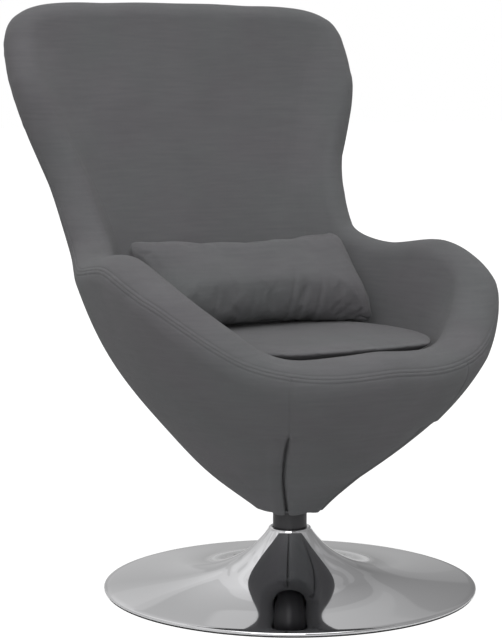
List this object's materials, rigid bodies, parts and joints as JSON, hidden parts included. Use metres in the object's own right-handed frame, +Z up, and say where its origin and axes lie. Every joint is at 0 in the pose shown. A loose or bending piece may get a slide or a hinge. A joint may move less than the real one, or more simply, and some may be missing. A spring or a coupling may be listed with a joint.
{
  "type": "swivel pod chair",
  "caption": "Padded one-piece pod armchair with a loose seat cushion and lumbar pillow, turning on a column in a spun trumpet base.",
  "frame": {"origin": "on the floor, on the swivel axis, at the middle of the foot ring", "axes": "+Z up along the swivel axis; -Y is the front of the seat; +X is the sitter's left"},
  "size_m": [0.737, 0.7791, 1.0413],
  "materials": {
    "chrome": "polished chrome plate",
    "black_tube": "satin black powder coat",
    "steel": "plain machined steel",
    "zinc": "zinc plated",
    "rubber": "matte",
    "nylon": "natural nylon",
    "glass_fibre": "moulded glass fibre, rough",
    "plywood": "unfinished birch plywood",
    "foam": "moulded foam",
    "grey_fabric": "matte woven upholstery",
    "wadding": "soft fibre filling"
  },
  "bodies": {
    "base": {"base_trumpet": "chrome", "foot_ring": "rubber", "bottom_plate": "steel", "column_flange": "steel", "flange_bolts": "zinc", "column_tube": "black_tube", "upper_bush": "nylon", "lower_bush": "nylon", "lower_race": "steel"},
    "bearing": {"bearing_cage": "nylon", "bearing_balls": "chrome"},
    "pod": {"upper_race": "steel", "thrust_washer": "steel", "spindle": "steel", "retaining_clip": "steel", "mount_plate": "black_tube", "backing_ring": "steel", "mount_bolts": "zinc", "mount_nuts": "zinc", "seat_post": "black_tube", "seat_spider": "black_tube", "seat_board": "plywood", "board_screws": "zinc", "shell": "glass_fibre", "outer_foam": "foam", "rim_roll": "foam", "inner_foam": "foam", "outer_cover": "grey_fabric", "inner_cover": "grey_fabric", "hem_cord": "rubber"},
    "seat_cushion": {"seat_cushion_cover": "grey_fabric", "seat_cushion_core": "foam"},
    "lumbar_pillow": {"pillow_cover": "grey_fabric", "pillow_filling": "wadding"}
  },
  "joints": [
    {"name": "swivel", "type": "hinge", "parent": "base", "child": "pod", "pos_m": [0, 0, 0], "axis": [0, 0, 1], "continuous": true},
    {"name": "bearing_roll", "type": "hinge", "parent": "base", "child": "bearing", "pos_m": [0, 0, 0], "axis": [0, 0, 1], "continuous": true},
    {"name": "seat_cushion_lift", "type": "slide", "parent": "pod", "child": "seat_cushion", "axis": [0, 0, 1], "range_m": [0, 0.15]},
    {"name": "lumbar_pillow_lift", "type": "slide", "parent": "seat_cushion", "child": "lumbar_pillow", "axis": [0, -0.6, 0.8], "range_m": [0, 0.12]}
  ],
  "couplings": [
    {"joint": "bearing_roll", "follows": "swivel", "ratio": 0.5}
  ]
}
